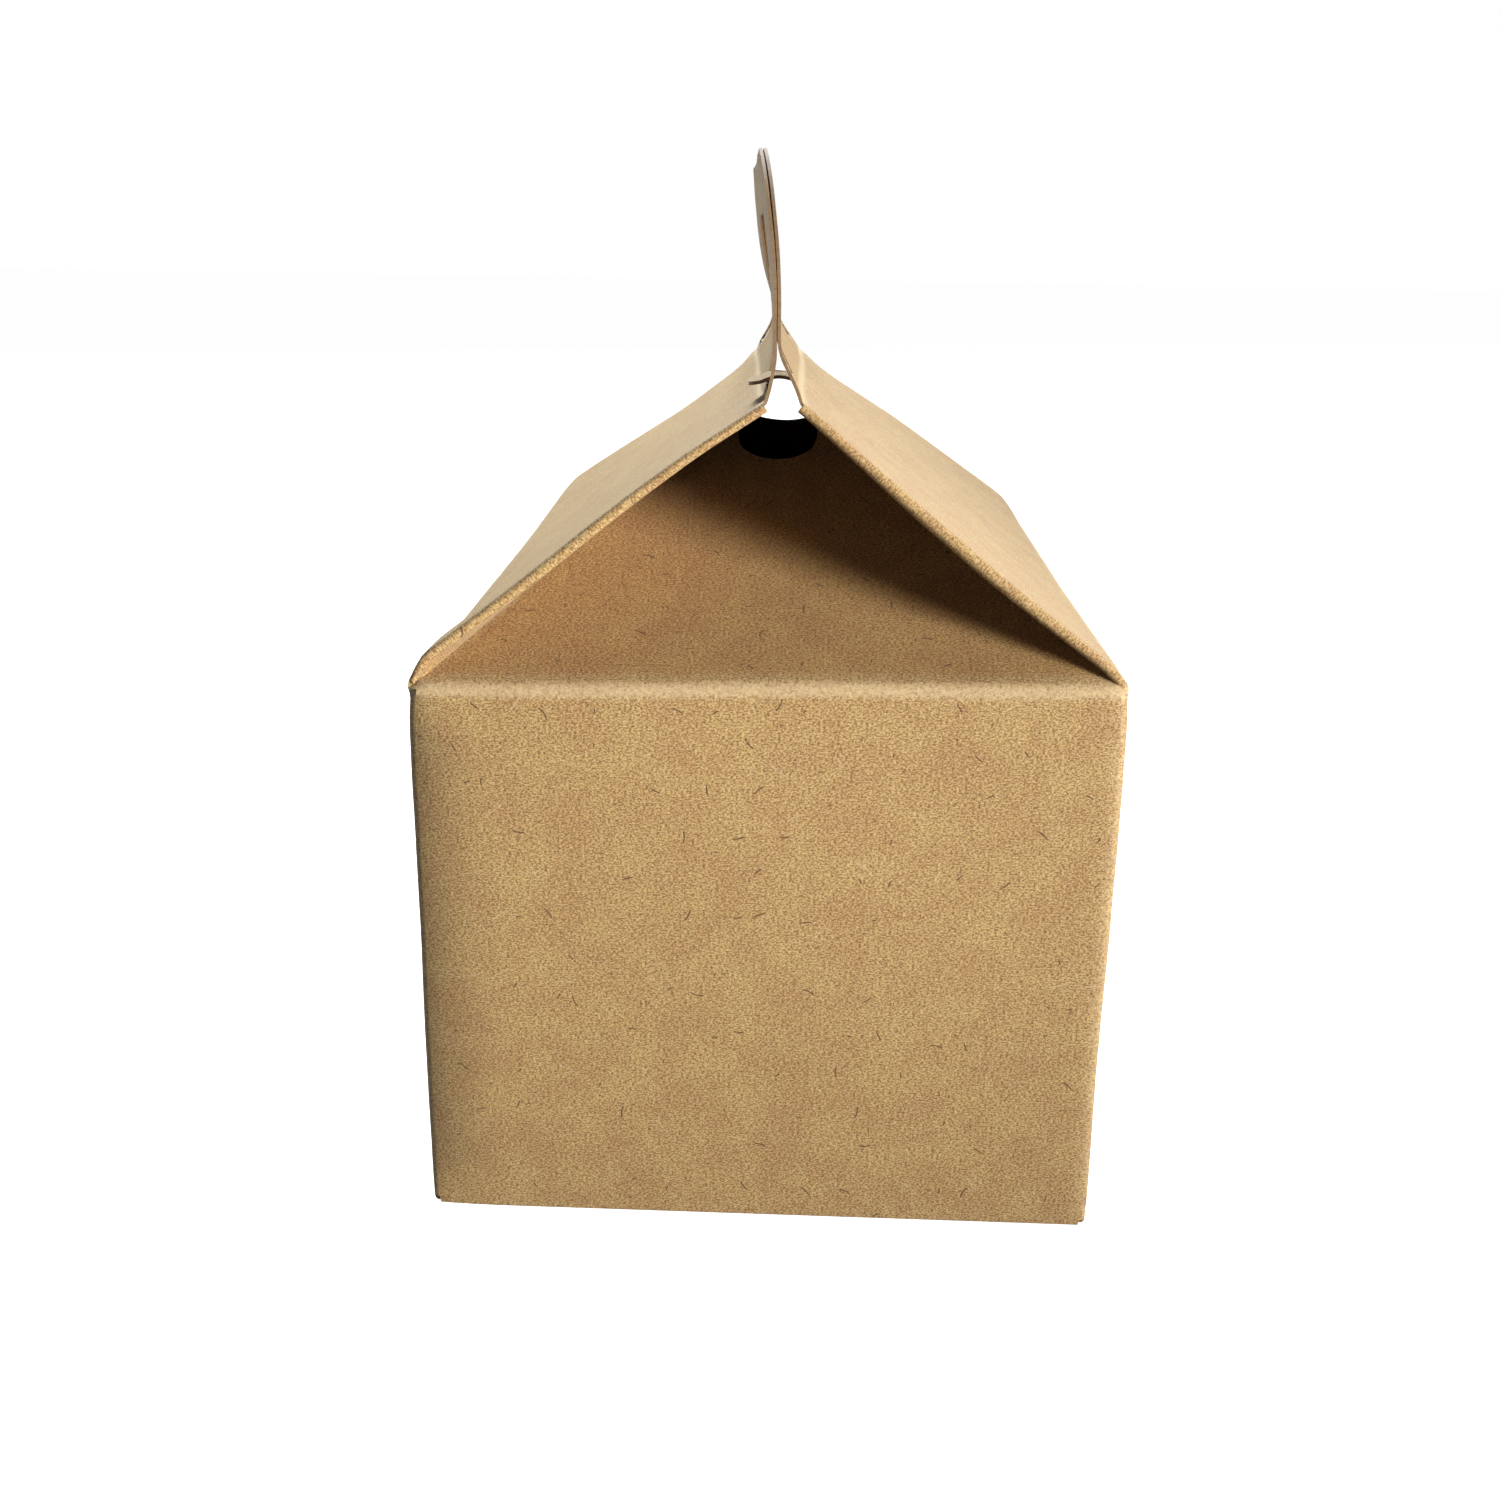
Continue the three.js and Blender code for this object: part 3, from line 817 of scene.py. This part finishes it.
def fill_corners(mesh):
    """Closes the small gap that the folds leave at each top corner of the walls."""
    for side in (-1, 1):
        for end in (-1, 1):
            centre = Vector((side * EAVE_X, end * END_Y, WALL_HEIGHT - 0.4))
            rim = [edge for edge in mesh.edges if edge.is_boundary
                   and all((vertex.co - centre).length < 3.4 for vertex in edge.verts)]
            if not rim:
                continue
            made = bmesh.ops.holes_fill(mesh, edges=rim, sides=0)
            bmesh.ops.triangulate(mesh, faces=made["faces"])


def make_carton(material):
    sheet = Sheet()
    add_walls(sheet)
    strips = {side: Strip(side) for side in (-1, 1)}
    for side, strip in strips.items():
        rims = strip.build(sheet, strip_holes(strip))
        if side > 0:
            for hinge, reach in zip(rims[1:], (TONGUE_REACH, FAR_TONGUE_REACH)):
                add_tongue(sheet, strip, hinge, reach)
    for end in (-1, 1):
        borders = add_gusset(sheet, end)
        for side, strip in strips.items():
            add_web(sheet, strip, end, borders[side])
    tongue = (BOTTOM_TONGUE_REACH, RECESS_LENGTH / 2 - BOTTOM_TONGUE_CLEARANCE)
    add_flap(sheet, "right", 0, EAVE_X + OUTER_FLAP_PAST_MIDDLE, tongue=tongue)
    recess = (RECESS_DEPTH, RECESS_LENGTH / 2)
    add_flap(sheet, "left", 2, EAVE_X + INNER_FLAP_PAST_MIDDLE, notch=recess)
    add_flap(sheet, "near", 1, END_FLAP_REACH)
    add_flap(sheet, "far", 1, END_FLAP_REACH)
    sheet.weld()
    fill_corners(sheet.mesh)
    bmesh.ops.recalc_face_normals(sheet.mesh, faces=sheet.mesh.faces)
    for vertex in sheet.mesh.verts:
        vertex.co = settle(vertex.co)
    bmesh.ops.scale(sheet.mesh, vec=(MM, MM, MM), verts=sheet.mesh.verts)
    data = bpy.data.meshes.new("folded_carton")
    sheet.mesh.to_mesh(data)
    sheet.mesh.free()
    piece = bpy.data.objects.new("folded_carton", data)
    bpy.context.scene.collection.objects.link(piece)
    thicken(piece, material)
    return piece


def thicken(piece, material):
    """Gives the sheet its board thickness, marks the cut edges for painted shade that is darker up
    towards the ridge, and keeps them sharp.
    """
    # The second slot tells the cut edges apart, and goes again once they are marked
    piece.data.materials.append(material)
    piece.data.materials.append(material)
    solid = piece.modifiers.new("board", "SOLIDIFY")
    solid.thickness = SHOWN_BOARD * MM
    solid.offset = 0
    solid.material_offset_rim = 1
    graph = bpy.context.evaluated_depsgraph_get()
    made = bpy.data.meshes.new_from_object(piece.evaluated_get(graph))
    piece.modifiers.clear()
    piece.data = made
    mesh = bmesh.new()
    mesh.from_mesh(made)
    cut = mesh.faces.layers.float.new("cut")
    for face in mesh.faces:
        face.smooth = True
        # Painted shade on the cut edges: none at the eaves, rising to full at the ridge and above
        up_roof = smooth(WALL_HEIGHT * MM, RIDGE_Z * MM, face.calc_center_median().z)
        face[cut] = face.material_index * up_roof
        face.material_index = 0
    for edge in mesh.edges:
        if len(edge.link_faces) == 2 and edge.calc_face_angle() > math.radians(SHARP_ANGLE):
            edge.smooth = False
    mesh.to_mesh(made)
    mesh.free()
    made.materials.pop(index=1)


# Materials
class Nodes:
    """Adds nodes to a material or world, each with its settings and its inputs."""

    def __init__(self, owner):
        owner.use_nodes = True
        self.tree = owner.node_tree
        self.tree.nodes.clear()

    def add(self, kind, inputs=None, **settings):
        made = self.tree.nodes.new(kind)
        for name, value in settings.items():
            setattr(made, name, value)
        for name, value in (inputs or {}).items():
            if isinstance(value, bpy.types.NodeSocket):
                self.tree.links.new(value, made.inputs[name])
            else:
                made.inputs[name].default_value = value
        return made

    def math(self, operation, *values, clamp=False):
        inputs = dict(enumerate(values))
        return self.add("ShaderNodeMath", inputs, operation=operation, use_clamp=clamp).outputs[0]

    def noise(self, vector, scale, detail=3.0, roughness=0.6, distortion=0.0):
        inputs = {"Vector": vector, "Scale": scale, "Detail": detail, "Roughness": roughness,
                  "Distortion": distortion}
        return self.add("ShaderNodeTexNoise", inputs, noise_dimensions="2D").outputs["Fac"]

    def band(self, value, low, high, to_low=0.0, to_high=1.0):
        inputs = {"Value": value, "From Min": low, "From Max": high, "To Min": to_low, "To Max": to_high}
        made = self.add("ShaderNodeMapRange", inputs, interpolation_type="SMOOTHSTEP", clamp=True)
        return made.outputs[0]

    def blend(self, share, first, second):
        inputs = {0: share, 6: first, 7: second}
        return self.add("ShaderNodeMix", inputs, data_type="RGBA").outputs[2]

    def multiply(self, first, second):
        inputs = {0: 1.0, 6: first, 7: second}
        return self.add("ShaderNodeMix", inputs, data_type="RGBA", blend_type="MULTIPLY").outputs[2]

    def fibres(self, flat, spacing, kept, length, width, bend, seed):
        """Short fibres, one in some of the cells of a scattered pattern. White where one lies."""
        moved = self.add("ShaderNodeVectorMath", {0: flat, 1: (seed, seed * 0.7, 0)}, operation="ADD")
        cells = self.add("ShaderNodeTexVoronoi", {"Vector": moved.outputs[0], "Scale": 1 / spacing},
                         voronoi_dimensions="2D")
        local = self.add("ShaderNodeVectorMath", {0: moved.outputs[0], 1: cells.outputs["Position"]},
                         operation="SUBTRACT")
        chance = self.add("ShaderNodeSeparateColor", {0: cells.outputs["Color"]})
        angle = self.math("MULTIPLY", chance.outputs[0], 2 * math.pi)
        turned = self.add("ShaderNodeVectorRotate", {"Vector": local.outputs[0], "Angle": angle},
                          rotation_type="Z_AXIS")
        place = self.add("ShaderNodeSeparateXYZ", {0: turned.outputs[0]})
        along, across = place.outputs[0], place.outputs[1]
        curve = self.math("MULTIPLY", self.math("MULTIPLY", along, along), bend)
        off_line = self.math("ABSOLUTE", self.math("SUBTRACT", across, curve))
        reach = self.band(chance.outputs[2], 0.0, 1.0, length * 0.35, length)
        past_end = self.math("SUBTRACT", self.math("ABSOLUTE", along), reach)
        on_line = self.band(off_line, width * 0.35, width, 1.0, 0.0)
        inside = self.band(past_end, -0.15, 0.0, 1.0, 0.0)
        chosen = self.math("LESS_THAN", chance.outputs[1], kept)
        return self.math("MULTIPLY", self.math("MULTIPLY", on_line, inside), chosen)


def kraft_material():
    """Natural kraft board: mottled, speckled, with dark and pale fibres, and pale where it is worn.
    Painted shade makes the gussets a deeper brown and darkens the cut edges towards the ridge.
    """
    material = bpy.data.materials.new("kraft_board")
    nodes = Nodes(material)
    uv = nodes.add("ShaderNodeUVMap", uv_map="flat").outputs[0]
    to_mm = {0: uv, "Scale": 1 / UV_PER_MM}
    flat = nodes.add("ShaderNodeVectorMath", to_mm, operation="SCALE").outputs[0]
    worn = nodes.add("ShaderNodeAttribute", attribute_name="wear_and_shade").outputs["Fac"]
    cut = nodes.add("ShaderNodeAttribute", attribute_name="cut").outputs["Fac"]

    patches = nodes.noise(flat, 0.13, 6, 0.74)
    colour = nodes.blend(nodes.band(patches, 0.33, 0.67), KRAFT_BROWN, KRAFT_STRAW)
    stretch = {0: flat, 1: (0.6, 1.0, 1.0)}
    drawn = nodes.add("ShaderNodeVectorMath", stretch, operation="MULTIPLY").outputs[0]
    speckle = nodes.noise(flat, 1.5, 4, 0.85)
    grain = nodes.noise(drawn, 4.3, 3, 0.8, 0.3)
    tone = nodes.band(speckle, 0.36, 0.64, 0.76, 1.2)
    grey = nodes.add("ShaderNodeCombineColor", {0: tone, 1: tone, 2: tone}).outputs[0]
    colour = nodes.multiply(colour, grey)
    colour = nodes.blend(nodes.band(grain, 0.38, 0.54, 1.0, 0.0), colour, KRAFT_FLECK)
    colour = nodes.blend(nodes.band(grain, 0.5, 0.64, 0.0, 0.55), colour, KRAFT_PALE)

    dark = nodes.fibres(flat, 6.4, 0.42, 1.05, 0.14, 0.2, 3.1)
    short = nodes.fibres(flat, 2.4, 0.45, 0.34, 0.17, 0.2, 17.3)
    pale = nodes.fibres(flat, 8.5, 0.45, 1.9, 0.16, 0.07, 41.7)
    colour = nodes.blend(nodes.math("MULTIPLY", short, 0.6), colour, FIBRE_DARK)
    colour = nodes.blend(nodes.math("MULTIPLY", dark, 0.95), colour, FIBRE_DARK)
    colour = nodes.blend(nodes.math("MULTIPLY", pale, 0.35), colour, KRAFT_PALE)

    # Painted shade: where the wear value is below 0, on the gussets, the colour turns a deeper brown
    unshaded_share = nodes.band(worn, PAINTED_GUSSET_SHADE, 0.0)
    colour = nodes.multiply(colour, nodes.blend(unshaded_share, PAINTED_SHADE_TINT, (1, 1, 1, 1)))
    rubbed = nodes.math("ADD", worn, nodes.band(speckle, 0.3, 0.7, -0.22, 0.22))
    rubbed = nodes.math("MULTIPLY", nodes.band(rubbed, 0.1, 0.95), 0.7)
    colour = nodes.blend(rubbed, colour, KRAFT_PALE)
    # Painted shade: the cut edges turn dark brown, more so towards the ridge and handle
    colour = nodes.blend(nodes.math("MULTIPLY", cut, 0.8), colour, PAINTED_EDGE_SHADE)

    height = nodes.math("ADD", speckle, nodes.math("MULTIPLY", grain, 0.6))
    bump = nodes.add("ShaderNodeBump", {"Height": height, "Strength": 0.5, "Distance": 0.00012})
    bsdf = nodes.add("ShaderNodeBsdfPrincipled", {
        "Base Color": colour, "Roughness": 0.72, "Specular IOR Level": 0.36, "Normal": bump.outputs[0],
        "Sheen Weight": 0.08, "Sheen Roughness": 0.6,
    })
    nodes.add("ShaderNodeOutputMaterial", {"Surface": bsdf.outputs[0]})
    return material


def seen_directly(nodes):
    """1 for what the camera sees, straight or in a reflection, and 0 for light that bounces."""
    path = nodes.add("ShaderNodeLightPath")
    straight = nodes.math("MAXIMUM", path.outputs["Is Camera Ray"], path.outputs["Is Glossy Ray"])
    return nodes.math("MAXIMUM", straight, path.outputs["Is Transmission Ray"])


def floor_material():
    """White to the eye, darker where the carton keeps the light off, and plain grey for bounced light."""
    material = bpy.data.materials.new("floor")
    nodes = Nodes(material)
    paper = nodes.add("ShaderNodeBsdfDiffuse", {"Color": (0.8, 0.8, 0.8, 1)})
    glow = nodes.add("ShaderNodeEmission", {"Color": (1, 1, 1, 1), "Strength": FLOOR_GLOW})
    lit = nodes.add("ShaderNodeAddShader", {0: paper.outputs[0], 1: glow.outputs[0]})
    dull = nodes.add("ShaderNodeBsdfDiffuse", {"Color": (*FLOOR_BOUNCE, 1)})
    shown = nodes.add("ShaderNodeMixShader",
                      {0: seen_directly(nodes), 1: dull.outputs[0], 2: lit.outputs[0]})
    nodes.add("ShaderNodeOutputMaterial", {"Surface": shown.outputs[0]})
    return material


def make_floor():
    data = bpy.data.meshes.new("floor")
    corners = [(-FLOOR_SIZE, -FLOOR_SIZE, 0), (FLOOR_SIZE, -FLOOR_SIZE, 0),
               (FLOOR_SIZE, FLOOR_SIZE, 0), (-FLOOR_SIZE, FLOOR_SIZE, 0)]
    data.from_pydata(corners, [], [(0, 1, 2, 3)])
    floor = bpy.data.objects.new("floor", data)
    floor.data.materials.append(floor_material())
    bpy.context.scene.collection.objects.link(floor)
    floor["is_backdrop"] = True


# Light
def add_lamp(name, place, target, size, power, colour, spread=180):
    data = bpy.data.lights.new(name, "AREA")
    data.shape = "DISK"
    data.size = size
    data.energy = power
    data.color = colour
    data.spread = math.radians(spread)
    lamp = bpy.data.objects.new(name, data)
    lamp.location = place
    aim = Vector(target) - Vector(place)
    lamp.rotation_mode = "QUATERNION"
    lamp.rotation_quaternion = aim.to_track_quat("-Z", "Y")
    bpy.context.scene.collection.objects.link(lamp)


def make_world():
    """White for the camera, and a dim even light for the rest."""
    world = bpy.data.worlds.new("studio")
    nodes = Nodes(world)
    white = nodes.add("ShaderNodeBackground", {"Color": (1, 1, 1, 1), "Strength": 1.0})
    dim = nodes.add("ShaderNodeBackground", {"Color": (1, 1, 1, 1), "Strength": AMBIENT})
    shown = nodes.add("ShaderNodeMixShader",
                      {0: seen_directly(nodes), 1: dim.outputs[0], 2: white.outputs[0]})
    nodes.add("ShaderNodeOutputWorld", {"Surface": shown.outputs[0]})
    bpy.context.scene.world = world


make_camera()
noise.seed_set(LUMP_SEED)
carton = make_carton(kraft_material())
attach(carton, "root")
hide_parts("carton")

make_floor()
add_lamp("key", (0.618, -0.544, 0.182), (-0.034, -0.076, 0.102), 0.27, 0.72, (1.0, 0.98, 0.94), 33)
add_lamp("fill", (-0.03, -0.43, 0.05), (0.0, -0.076, 0.05), 0.2, 0.008, (1.0, 0.985, 0.95), 32)
add_lamp("back", (-0.14, 0.45, 0.74), (0, 0, 0.1), 0.45, 14.0, (0.88, 0.965, 1.0))
make_world()
bpy.context.scene.view_settings.view_transform = "Standard"

bounds = [[list(corner) for corner in box] for box in (cad_bounds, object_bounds())]
